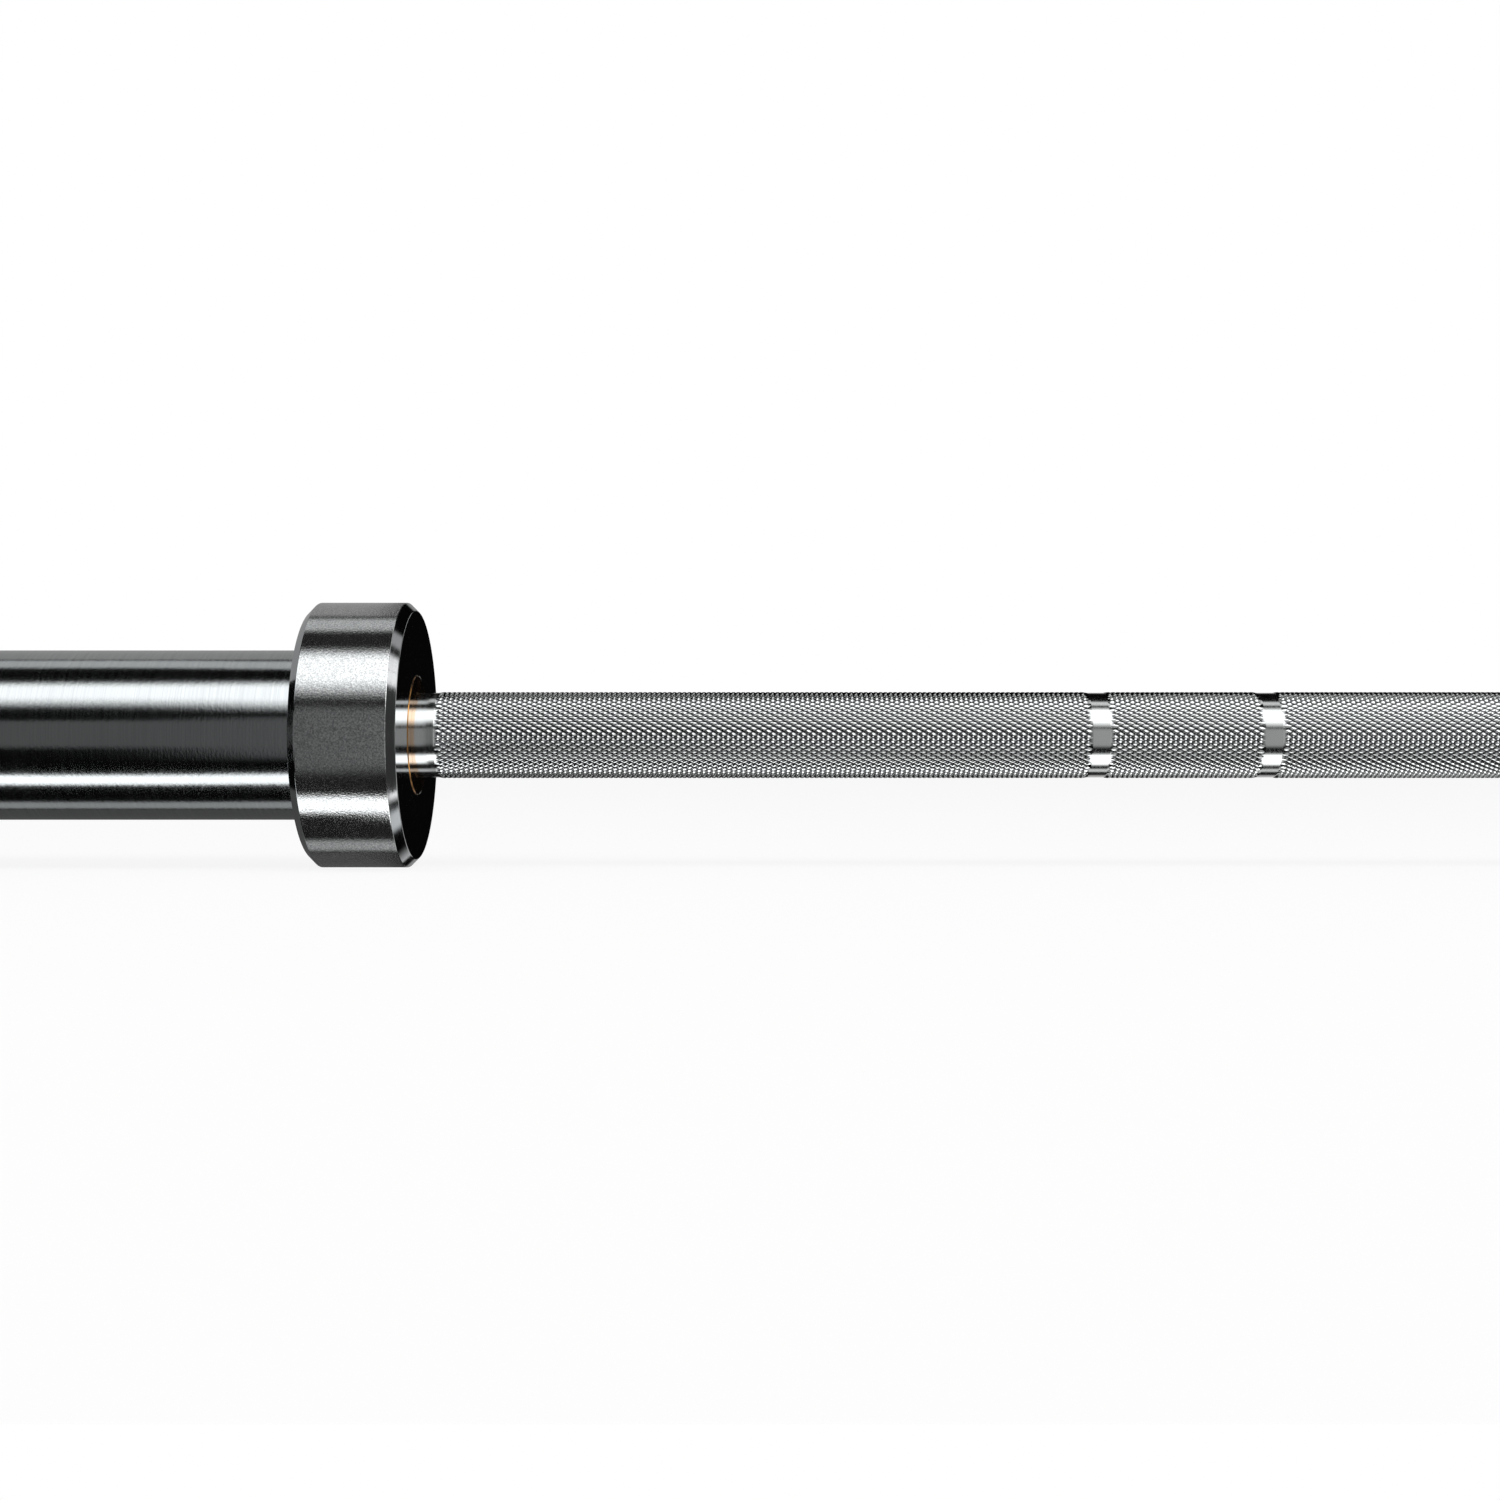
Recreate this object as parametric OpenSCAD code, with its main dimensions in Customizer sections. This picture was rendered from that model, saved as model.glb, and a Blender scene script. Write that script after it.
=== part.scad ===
// Olympic barbell, 25 mm shaft: a one-piece knurled shaft with a turning sleeve at each end.
// Millimetres. The bar lies along X, its middle at the origin, +Z up. Both ends are alike.

/* [Shaft] */
// Diameter of the plain shaft
shaft_d = 25; // [25:0.5:28]
// Distance between the inner faces of the two collars
grip_span = 1310; // [1250:5:1320]
// Plain neck between a collar's face and the start of the knurl
neck_len = 6; // [2:1:20]
// Distance from a collar's face to the inner end of the knurl
knurl_reach = 420; // [280:5:500]
// Height of the knurl over the plain shaft
knurl_rise = 0.2; // [0.05:0.05:0.4]
// Length over which the knurl runs out at each end of a band
knurl_runout = 1; // [0.5:0.25:2]
// Distance between the centres of the outer pair of ring marks
outer_mark_span = 910; // [880:5:940]
// Distance between the centres of the inner pair of ring marks
inner_mark_span = 810; // [760:5:840]
// Width of a ring mark, where the knurl is left out
mark_w = 5.5; // [3:0.5:8]
// Chamfer at the two ends of the shaft
shaft_chamfer = 1; // [0.5:0.25:2]

/* [Sleeve] */
// Outside diameter of the sleeve, which the plates slide over
sleeve_d = 50; // [49.5:0.1:51]
// Length of the sleeve outside the collar
sleeve_len = 320; // [280:5:420]
// Chamfer at the sleeve's outer end
sleeve_chamfer = 2; // [1:0.5:3]
// Step down to the spigot that the collar is shrunk onto, on the radius
spigot_step = 2.5; // [1.5:0.25:3]
// Depth of the collar's counterbore, in which the tube's full diameter starts
counterbore = 2; // [1:0.5:4]
// How much the tube is turned down beside its shoulder, on the radius
shoulder_relief = 0.75; // [0.5:0.05:1]
// How far the turned-down length shows outside the collar
shoulder_groove = 0.5; // [0.25:0.25:1]
// Depth of the relief bored between the bearings
relief_depth = 2.3; // [0.5:0.1:3]
// Length of bore left full between a bearing and the relief
relief_margin = 6; // [3:1:20]
// Step up from the bearing bore to the outer bushing's seat
bushing_step = 2; // [1.5:0.25:2.5]
// Step up from the outer bushing's seat to the end cap's seat
cap_step = 2; // [1.5:0.25:2.5]

/* [Collar] */
// Outside diameter of the collar
collar_d = 78; // [70:1:90]
// Width of the collar along the bar
collar_w = 30; // [24:1:36]
// Chamfer on both rims of the collar
collar_chamfer = 2.4; // [1:0.2:4]
// Thickness of the lip in front of the sleeve tube's spigot
collar_lip = 4; // [3:0.5:6]

/* [Bushings] */
// Running clearance between a bushing and the shaft, on the radius
running_gap = 0.05; // [0.02:0.01:0.1]
// Length of the inner bushing behind its flange
inner_bushing_len = 28; // [16:1:40]
// Step from the inner bushing's barrel to its flange, on the radius
flange_step = 1.5; // [1:0.25:3]
// How far the flange stands proud of the collar's face
flange_proud = 0.4; // [0.3:0.1:2]
// Chamfer on the visible rim of the flange
flange_chamfer = 0.2; // [0.1:0.05:0.25]
// Length of the outer bushing
outer_bushing_len = 22; // [14:1:40]

/* [Needle bearings] */
// Diameter of a needle
needle_d = 2.4; // [2:0.1:2.6]
// Length of a needle
needle_len = 14; // [10:0.5:16]
// Needles in one bearing
needle_count = 20; // [12:1:22]
// Clearance of a needle to the shaft and to its cup, on the radius
needle_gap = 0.05; // [0.02:0.01:0.08]
// Wall of the drawn cup
cup_wall = 1; // [0.8:0.1:1.2]
// Length of the cage's rim past the needles, at each end
cage_rim = 1.8; // [1:0.2:3]
// Wall of the needle cage
cage_wall = 1.3; // [0.8:0.1:1.6]
// Clearance of a needle in its pocket, all round
pocket_gap = 0.1; // [0.05:0.05:0.2]
// Clearance between the cage's ends and the lips of the cup
cage_gap = 0.3; // [0.2:0.05:0.5]
// Space between a bearing and the bushing beside it
bearing_space = 2; // [1:0.5:6]

/* [Sleeve end] */
// Depth from the sleeve's end to the face of the cap's snap ring
ring_recess = 3; // [2:0.5:5]
// Thickness of the end cap
cap_t = 5; // [4:0.5:8]
// Thickness of the cap's snap ring
cap_ring_t = 1.75; // [1.5:0.25:2]
// Depth of the snap ring's groove in the sleeve
cap_groove = 1.25; // [1:0.05:1.5]
// Diameter of the thrust pad between cap and shaft
pad_d = 18; // [12:1:20]
// Thickness of the thrust pad
pad_t = 4; // [3:0.5:6]
// How deep the thrust pad sits in the end cap
pad_sink = 1.5; // [1:0.25:2]
// Thickness of the thrust washer
washer_t = 2; // [1.5:0.25:3]
// Space between the thrust washer's rim and the sleeve's bore
washer_space = 1; // [0.5:0.25:1.5]
// Thickness of the shaft's snap ring
shaft_ring_t = 1.2; // [1:0.1:1.5]
// Depth of the snap ring's groove in the shaft
shaft_groove = 0.6; // [0.4:0.05:0.8]
// Length of shaft past the snap ring's groove
shaft_land = 3; // [2:0.5:6]
// End float of the sleeve on the shaft
end_float = 0.2; // [0.1:0.05:0.4]

/* [Hidden] */
$fn = 72;
// Overlap of a cutter past the face that it cuts
cut = 1;
// Clearance of a loose part in its seat: cap, washer and snap rings
loose_gap = 0.1;

shaft_r = shaft_d / 2;
knurl_r = shaft_r + knurl_rise;
sleeve_r = sleeve_d / 2;
spigot_r = sleeve_r - spigot_step;
collar_r = collar_d / 2;
half_span = grip_span / 2;

// Radii of the bearing, from the shaft outwards
needle_r = needle_d / 2;
pitch_r = shaft_r + needle_gap + needle_r;
cup_bore_r = pitch_r + needle_r + needle_gap;
seat_r = cup_bore_r + cup_wall;
cage_in_r = pitch_r - cage_wall / 2;
cage_out_r = pitch_r + cage_wall / 2;
cage_len = needle_len + 2 * (pocket_gap + cage_rim);
cup_lip_t = 0.8 * cup_wall;
cup_lip_r = cage_in_r;
cup_len = cage_len + 2 * (cage_gap + cup_lip_t);

// Radii of the seats in the tube and collar
flange_r = seat_r + flange_step;
relief_r = seat_r + relief_depth;
outer_seat_r = seat_r + bushing_step;
cap_seat_r = outer_seat_r + cap_step;
cap_groove_r = cap_seat_r + cap_groove;
bushing_bore_r = shaft_r + running_gap;

// Stations along one end, measured outwards from the collar's inner face
sleeve_end = collar_w + sleeve_len;
cap_ring_at = sleeve_end - ring_recess - cap_ring_t;
cap_at = cap_ring_at - cap_t;
pad_at = cap_at + pad_sink - pad_t;
shaft_end = pad_at - end_float;
shaft_ring_at = shaft_end - shaft_land - shaft_ring_t;
washer_at = shaft_ring_at - washer_t;
outer_bushing_at = washer_at - end_float - outer_bushing_len;
outer_bearing_at = outer_bushing_at - bearing_space - cup_len;
shoulder_at = collar_w - counterbore;
inner_bearing_at = collar_lip + inner_bushing_len + bearing_space;
relief_start = inner_bearing_at + cup_len + relief_margin;
relief_end = outer_bearing_at - relief_margin;

// Snap rings: body width, gap and lugs
ring_width = 2.6;
ring_gap_deg = 24;
lug_r = 2.1;
lug_hole_r = 0.9;
lug_deg = 20;
// How far a snap ring's body stays clear of the groove's floor
ring_seat_gap = 0.05;

steel = [0.60, 0.61, 0.62];
bright_steel = [0.74, 0.75, 0.77];
bearing_steel = [0.80, 0.81, 0.83];
dark_steel = [0.24, 0.25, 0.27];
bronze = [0.72, 0.47, 0.22];
nylon = [0.93, 0.91, 0.85];

SIDES = ["left", "right"];
PIECES = [
  "collar",
  "sleeve_tube",
  "inner_bushing",
  "outer_bushing",
  "inner_bearing_cup",
  "inner_bearing_cage",
  "inner_bearing_needles",
  "outer_bearing_cup",
  "outer_bearing_cage",
  "outer_bearing_needles",
  "thrust_washer",
  "shaft_snap_ring",
  "thrust_pad",
  "end_cap",
  "end_cap_snap_ring"
];

// A turned shape: outline is a list of [station along X, radius]
module turned(outline) {
  rotate([0, 90, 0])
    rotate_extrude()
      polygon([for (p = outline) [p[1], p[0]]]);
}

// A ring or tube between two stations and two radii
module ring(from, to, inner_r, outer_r) {
  turned([[from, inner_r], [from, outer_r], [to, outer_r], [to, inner_r]]);
}

// Puts what is drawn for the right end, with its collar face at 0, on one end of the bar
module at_end(side) {
  mirror([side == "left" ? 1 : 0, 0, 0])
    translate([half_span, 0, 0])
      children();
}

// Half of the shaft's outline, from the middle of the bar to its right end
function knurl_band(from, to) = [
  [from, shaft_r],
  [from + knurl_runout, knurl_r],
  [to - knurl_runout, knurl_r],
  [to, shaft_r]
];
inner_mark = inner_mark_span / 2;
outer_mark = outer_mark_span / 2;
half_outline = concat(
  knurl_band(half_span - knurl_reach, inner_mark - mark_w / 2),
  knurl_band(inner_mark + mark_w / 2, outer_mark - mark_w / 2),
  knurl_band(outer_mark + mark_w / 2, half_span - neck_len),
  [
    [half_span + shaft_ring_at, shaft_r],
    [half_span + shaft_ring_at, shaft_r - shaft_groove],
    [half_span + shaft_ring_at + shaft_ring_t, shaft_r - shaft_groove],
    [half_span + shaft_ring_at + shaft_ring_t, shaft_r],
    [half_span + shaft_end - shaft_chamfer, shaft_r],
    [half_span + shaft_end, shaft_r - shaft_chamfer],
    [half_span + shaft_end, 0]
  ]
);

module shaft() {
  last = len(half_outline) - 1;
  other_half = [for (i = [last:-1:0]) [-half_outline[i][0], half_outline[i][1]]];
  color(bright_steel)
    turned(concat(other_half, half_outline));
}

// The stop for the plates, shrunk onto the tube's spigot
module collar() {
  color(steel)
    turned([
      [0, flange_r],
      [0, collar_r - collar_chamfer],
      [collar_chamfer, collar_r],
      [collar_w - collar_chamfer, collar_r],
      [collar_w, collar_r - collar_chamfer],
      [collar_w, sleeve_r],
      [shoulder_at, sleeve_r],
      [shoulder_at, spigot_r],
      [collar_lip, spigot_r],
      [collar_lip, flange_r]
    ]);
}

module sleeve_tube() {
  shoulder_r = sleeve_r - shoulder_relief;
  groove_end = collar_w + shoulder_groove;
  color(steel)
    turned([
      [collar_lip, seat_r],
      [collar_lip, spigot_r],
      [shoulder_at, spigot_r],
      [shoulder_at, shoulder_r],
      [groove_end, shoulder_r],
      [groove_end, sleeve_r],
      [sleeve_end - sleeve_chamfer, sleeve_r],
      [sleeve_end, sleeve_r - sleeve_chamfer],
      [sleeve_end, cap_seat_r],
      [cap_ring_at + cap_ring_t, cap_seat_r],
      [cap_ring_at + cap_ring_t, cap_groove_r],
      [cap_ring_at, cap_groove_r],
      [cap_ring_at, cap_seat_r],
      [cap_at, cap_seat_r],
      [cap_at, outer_seat_r],
      [outer_bushing_at, outer_seat_r],
      [outer_bushing_at, seat_r],
      [relief_end, seat_r],
      [relief_end, relief_r],
      [relief_start, relief_r],
      [relief_start, seat_r]
    ]);
}

// Flanged bronze bushing, whose flange shows in the collar's face
module inner_bushing() {
  color(bronze)
    turned([
      [-flange_proud, bushing_bore_r],
      [-flange_proud, flange_r - flange_chamfer],
      [flange_chamfer - flange_proud, flange_r],
      [collar_lip, flange_r],
      [collar_lip, seat_r],
      [collar_lip + inner_bushing_len, seat_r],
      [collar_lip + inner_bushing_len, bushing_bore_r]
    ]);
}

module outer_bushing() {
  color(bronze)
    ring(outer_bushing_at, outer_bushing_at + outer_bushing_len, bushing_bore_r, outer_seat_r);
}

// Drawn cup of a needle bearing: a thin wall with a lip at each end
module bearing_cup(from) {
  color(bearing_steel)
    turned([
      [from, cup_lip_r],
      [from, seat_r],
      [from + cup_len, seat_r],
      [from + cup_len, cup_lip_r],
      [from + cup_len - cup_lip_t, cup_lip_r],
      [from + cup_len - cup_lip_t, cup_bore_r],
      [from + cup_lip_t, cup_bore_r],
      [from + cup_lip_t, cup_lip_r]
    ]);
}

// Repeats what is drawn at the top of the pitch circle once for each needle
module each_needle() {
  for (i = [0:needle_count - 1])
    rotate([i * 360 / needle_count, 0, 0])
      translate([0, 0, pitch_r])
        children();
}

module bearing_cage(from) {
  cage_from = from + cup_lip_t + cage_gap;
  pocket_from = cage_from + cage_rim;
  pocket_len = needle_len + 2 * pocket_gap;
  pocket_w = needle_d + 2 * pocket_gap;
  color(dark_steel)
    difference() {
      ring(cage_from, cage_from + cage_len, cage_in_r, cage_out_r);
      each_needle()
        translate([pocket_from, -pocket_w / 2, -needle_d])
          cube([pocket_len, pocket_w, 2 * needle_d]);
    }
}

module bearing_needles(from) {
  needle_from = from + cup_lip_t + cage_gap + cage_rim + pocket_gap;
  color(bearing_steel)
    each_needle()
      translate([needle_from, 0, 0])
        rotate([0, 90, 0])
          cylinder(h = needle_len, r = needle_r, $fn = 24);
}

module thrust_washer() {
  color(bearing_steel)
    ring(
      washer_at,
      washer_at + washer_t,
      shaft_r + loose_gap,
      outer_seat_r - washer_space
    );
}

// Wedge of the YZ plane about +Z, as thick as a snap ring and wider than any of them
module ring_opening(thickness) {
  reach = 2 * sleeve_r;
  half_width = reach * tan(ring_gap_deg / 2);
  rotate([90, 0, 90])
    translate([0, 0, -cut])
      linear_extrude(thickness + 2 * cut)
        polygon([[0, 0], [half_width, reach], [-half_width, reach]]);
}

// Two discs beside a snap ring's opening: its lugs, or the holes in them
module ring_lugs(from, to, at_r, radius) {
  for (turn = [-lug_deg, lug_deg])
    rotate([turn, 0, 0])
      translate([from, 0, at_r])
        rotate([0, 90, 0])
          cylinder(h = to - from, r = radius, $fn = 32);
}

// A snap ring from 0 to its thickness along X, with its opening at the top
module snap_ring(thickness, inner_r, outer_r, lug_at) {
  difference() {
    union() {
      difference() {
        ring(0, thickness, inner_r, outer_r);
        ring_opening(thickness);
      }
      ring_lugs(0, thickness, lug_at, lug_r);
    }
    ring_lugs(-cut, thickness + cut, lug_at, lug_hole_r);
  }
}

module shaft_snap_ring() {
  inner_r = shaft_r - shaft_groove + ring_seat_gap;
  outer_r = inner_r + ring_width;
  color(dark_steel)
    translate([shaft_ring_at, 0, 0])
      snap_ring(shaft_ring_t, inner_r, outer_r, inner_r + lug_r + ring_seat_gap);
}

// Nylon disc that takes the sleeve's inward thrust from the cap to the shaft
module thrust_pad() {
  color(nylon)
    turned([[pad_at, 0], [pad_at, pad_d / 2], [pad_at + pad_t, pad_d / 2], [pad_at + pad_t, 0]]);
}

module end_cap() {
  cap_r = cap_seat_r - loose_gap;
  color(steel)
    turned([
      [cap_at + pad_sink, 0],
      [cap_at + pad_sink, pad_d / 2],
      [cap_at, pad_d / 2],
      [cap_at, cap_r],
      [cap_at + cap_t, cap_r],
      [cap_at + cap_t, 0]
    ]);
}

module end_cap_snap_ring() {
  outer_r = cap_groove_r - ring_seat_gap;
  inner_r = outer_r - ring_width - cap_groove;
  color(dark_steel)
    translate([cap_ring_at, 0, 0])
      snap_ring(cap_ring_t, inner_r, outer_r, cap_seat_r - lug_r - loose_gap);
}

module piece(name) {
  if (name == "collar") collar();
  if (name == "sleeve_tube") sleeve_tube();
  if (name == "inner_bushing") inner_bushing();
  if (name == "outer_bushing") outer_bushing();
  if (name == "inner_bearing_cup") bearing_cup(inner_bearing_at);
  if (name == "inner_bearing_cage") bearing_cage(inner_bearing_at);
  if (name == "inner_bearing_needles") bearing_needles(inner_bearing_at);
  if (name == "outer_bearing_cup") bearing_cup(outer_bearing_at);
  if (name == "outer_bearing_cage") bearing_cage(outer_bearing_at);
  if (name == "outer_bearing_needles") bearing_needles(outer_bearing_at);
  if (name == "thrust_washer") thrust_washer();
  if (name == "shaft_snap_ring") shaft_snap_ring();
  if (name == "thrust_pad") thrust_pad();
  if (name == "end_cap") end_cap();
  if (name == "end_cap_snap_ring") end_cap_snap_ring();
}

shaft();
for (side = SIDES, name = PIECES)
  at_end(side) piece(name);
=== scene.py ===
"""Looks of an olympic barbell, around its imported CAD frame.

The bar lies along X on its two collars, its middle at the origin. The turned pieces that show are
drawn again as fine meshes with rounded edges, and the shaft's knurl as real diamonds. The camera
looks at the left (-X) end, square to the bar.
"""

import math

import bmesh
import bpy
import numpy as np
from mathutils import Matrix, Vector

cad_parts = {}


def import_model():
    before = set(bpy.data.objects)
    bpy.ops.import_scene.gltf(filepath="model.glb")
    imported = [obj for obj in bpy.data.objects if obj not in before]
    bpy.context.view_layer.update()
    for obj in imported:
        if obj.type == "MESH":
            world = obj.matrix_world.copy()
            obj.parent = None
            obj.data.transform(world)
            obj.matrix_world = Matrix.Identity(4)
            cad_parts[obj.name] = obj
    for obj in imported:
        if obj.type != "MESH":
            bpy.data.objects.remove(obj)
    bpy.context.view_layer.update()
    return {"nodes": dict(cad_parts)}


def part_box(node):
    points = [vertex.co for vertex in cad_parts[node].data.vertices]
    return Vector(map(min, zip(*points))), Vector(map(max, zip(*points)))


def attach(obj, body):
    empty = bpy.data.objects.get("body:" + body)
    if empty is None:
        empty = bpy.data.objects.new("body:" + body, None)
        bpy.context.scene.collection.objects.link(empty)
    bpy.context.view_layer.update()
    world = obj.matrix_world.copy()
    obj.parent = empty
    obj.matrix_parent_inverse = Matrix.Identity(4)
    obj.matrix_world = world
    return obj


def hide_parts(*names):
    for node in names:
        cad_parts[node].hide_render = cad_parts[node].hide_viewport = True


MM = 0.001
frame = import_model()

# Sizes, from the frame
SHAFT_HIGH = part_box("shaft")[1]
COLLAR_LOW, COLLAR_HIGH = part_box("right_collar")
TUBE_LOW, TUBE_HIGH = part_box("right_sleeve_tube")
BUSHING_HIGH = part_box("right_inner_bushing")[1]
INNER_CUP_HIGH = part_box("right_inner_bearing_cup")[1]
OUTER_CUP_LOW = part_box("right_outer_bearing_cup")[0]
OUTER_LOW, OUTER_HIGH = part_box("right_outer_bushing")
CAP_LOW, CAP_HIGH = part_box("right_end_cap")
RING_LOW, RING_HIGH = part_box("right_end_cap_snap_ring")

FACE = COLLAR_LOW.x  # the collar's inner face, from the middle of the bar
SHAFT_END = SHAFT_HIGH.x
KNURL_R = SHAFT_HIGH.z
COLLAR_R = COLLAR_HIGH.z
COLLAR_W = COLLAR_HIGH.x - COLLAR_LOW.x
SLEEVE_R = TUBE_HIGH.z
SLEEVE_END = TUBE_HIGH.x - FACE
COLLAR_LIP = TUBE_LOW.x - FACE
FLANGE_R = BUSHING_HIGH.z
CAP_R = CAP_HIGH.z
CAP_AT, CAP_T = CAP_LOW.x - FACE, CAP_HIGH.x - CAP_LOW.x
CAP_RING_AT, CAP_RING_T = RING_LOW.x - FACE, RING_HIGH.x - RING_LOW.x

# Sizes that no box tells, as in the CAD source but where a comment says otherwise
SHAFT_R = 12.5 * MM
RUNNING_GAP = 0.05 * MM  # between a bushing and the shaft, on the radius
NECK = 6 * MM
KNURL_REACH = 420 * MM
MARKS = (405 * MM, 455 * MM)  # ring marks, from the middle of the bar
MARK_W = 5.0 * MM  # narrower than in the CAD, because the diamonds at its edges stand low
RUN_OUT = 0.5 * MM  # from the end of the CAD's raised length to the first diamonds
SHAFT_CHAMFER = 1 * MM
COLLAR_CHAMFER = 2.4 * MM
COUNTERBORE = 2 * MM
SPIGOT_R = SLEEVE_R - 2.5 * MM
SHOULDER_R = SLEEVE_R - 0.75 * MM  # the tube beside its shoulder, in the counterbore
SHOULDER_GROOVE = 0.5 * MM
SEAT_R = 16 * MM
RELIEF_R = SEAT_R + 2.3 * MM
RELIEF_MARGIN = 6 * MM
FLANGE_PROUD = 0.18 * MM  # worn nearly flush, where the CAD has it 0.4 mm proud
FLANGE_CHAMFER = 0.08 * MM  # smaller than the CAD's 0.2 mm, to fit on the thin flange
SLEEVE_CHAMFER = 2 * MM
CAP_SEAT_R = 20 * MM
CAP_GROOVE_R = 21.25 * MM
PAD_R, PAD_SINK = 9 * MM, 1.5 * MM
BUSHING_LEN = 28 * MM

# The knurl: two crossing sets of helical grooves
KNURL_STARTS = 46  # grooves of one hand round the shaft
KNURL_PITCH = 2.9 * MM  # along the shaft, from one diamond to the next
KNURL_FLOOR = KNURL_R - 0.5 * MM  # radius at the bottom of a groove
# Share of a diamond that is flat on top, between the wide grooves and between the narrow ones
TOP_ALONG, TOP_ACROSS = 0.12, 0.30
# Heights over the grooves' bottoms: up to the first the grooves carry full painted shade, which fades out
# by the second to the steel's own colour
PAINTED_SHADE_FULL_TO, PAINTED_SHADE_GONE_FROM = 0.05 * MM, 0.28 * MM

# Facets round the turned pieces. The sleeve and the bushing have as many as the collar.
SHAFT_PARTS = 4  # on the plain shaft, from one groove crossing to the next
COLLAR_SEGMENTS, CAP_SEGMENTS, SHAFT_SEGMENTS = 192, 128, SHAFT_PARTS * KNURL_STARTS

# Edges of the turned pieces
COLLAR_EDGE, SLEEVE_EDGE, CAP_EDGE, BUSHING_EDGE = 0.35 * MM, 0.3 * MM, 0.2 * MM, 0.05 * MM
LEAST_TURN = math.radians(10)  # a corner that turns less isn't rounded
LONGEST_REACH = 0.4  # share of a stretch that one corner's curve may take up
HOLD = 1.15  # how far out the points lie that keep a stretch flat, in reaches of the corner's curve
SHARP_TURN = math.radians(50)  # an edge that turns more is drawn sharp

ON_AXIS = 1e-7  # what lies nearer to the bar's axis lies on it
MAP_MARGIN = 0.002  # share of a texture map that is left free at each of its edges


# Meshes
def new_mesh(name, vertices, faces, uv, materials, slots=None):
    """A mesh object from arrays. uv holds one pair for each face corner, in order."""
    mesh = bpy.data.meshes.new(name)
    mesh.from_pydata(vertices, [], faces)
    layer = mesh.uv_layers.new(name="OFBake")
    layer.uv.foreach_set("vector", np.asarray(uv, np.float32).ravel())
    for m in materials:
        mesh.materials.append(m)
    if slots is not None:
        mesh.polygons.foreach_set("material_index", np.asarray(slots, np.int32))
    mesh.shade_smooth()
    mesh.set_sharp_from_angle(angle=SHARP_TURN)
    mesh.validate()
    obj = bpy.data.objects.new(name, mesh)
    bpy.context.scene.collection.objects.link(obj)
    return obj


def inset(share):
    """A place on a texture map, kept off its edges."""
    return MAP_MARGIN + (1 - 2 * MAP_MARGIN) * share


def rounded(outline, radius, steps=4):
    """The outline with each corner rounded. outline is a list of (x, r, slot): slot is the material
    of the stretch that starts there. A closed outline runs on from its last point to its first."""
    out = []
    count = len(outline)
    for i, (x, r, slot) in enumerate(outline):
        here = np.array((x, r))
        before = np.array(outline[i - 1][:2]) - here
        after = np.array(outline[(i + 1) % count][:2]) - here
        to_before, to_after = np.linalg.norm(before), np.linalg.norm(after)
        before, after = before / to_before, after / to_after
        turn = math.acos(float(np.clip(-before @ after, -1, 1)))
        if turn < LEAST_TURN:
            out.append((x, r, slot))
            continue
        reach = min(radius * math.tan(turn / 2), LONGEST_REACH * min(to_before, to_after))
        start, end = here + before * reach, here + after * reach
        # A point just past each end of the curve keeps the stretch beside it flat in its shading
        hold_before, hold_after = here + HOLD * (start - here), here + HOLD * (end - here)
        out.append((*hold_before, outline[i - 1][2]))
        for k in range(steps + 1):
            t = k / steps
            p = (1 - t) ** 2 * start + 2 * t * (1 - t) * here + t**2 * end
            out.append((p[0], p[1], slot))
        out.append((*hold_after, slot))
    return out


def lathe(name, outline, side, materials, segments, closed=True):
    """Turns an outline about X. side is +1 for the right end, -1 for its mirror image."""
    profile = np.array([(x, r) for x, r, _ in outline])
    stretch = [slot for _, _, slot in outline]
    rows = len(profile)
    angle = 2 * math.pi * np.arange(segments) / segments
    vertices = np.stack(
        [
            np.repeat(side * profile[:, 0], segments),
            np.outer(profile[:, 1], np.cos(angle)).ravel(),
            np.outer(profile[:, 1], np.sin(angle)).ravel(),
        ],
        1,
    )
    closed_profile = np.vstack([profile, profile[:1]])
    steps = np.linalg.norm(np.diff(closed_profile, axis=0), axis=1)
    along = np.concatenate([[0], np.cumsum(steps)]) / steps.sum()
    faces, uv, slots = [], [], []
    for i in range(rows if closed else rows - 1):
        j = (i + 1) % rows
        if profile[i, 1] < ON_AXIS and profile[j, 1] < ON_AXIS:
            continue
        for k in range(segments):
            m = (k + 1) % segments
            here, there = along[i], along[i + 1]
            corners = [(i, k, here, k), (j, k, there, k), (j, m, there, k + 1), (i, m, here, k + 1)]
            if side > 0:
                corners.reverse()
            faces.append([a * segments + b for a, b, _, _ in corners])
            uv += [(inset(u), inset(v / segments)) for _, _, u, v in corners]
            slots.append(stretch[i])
    obj = new_mesh(name, vertices, faces, uv, materials, slots)
    weld(obj)
    return obj


def weld(obj):
    """Joins the vertices that meet on the axis, so that the faces there become triangles."""
    work = bmesh.new()
    work.from_mesh(obj.data)
    on_axis = [v for v in work.verts if math.hypot(v.co.y, v.co.z) < ON_AXIS]
    if on_axis:
        bmesh.ops.remove_doubles(work, verts=on_axis, dist=ON_AXIS)
    work.to_mesh(obj.data)
    work.free()


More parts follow.
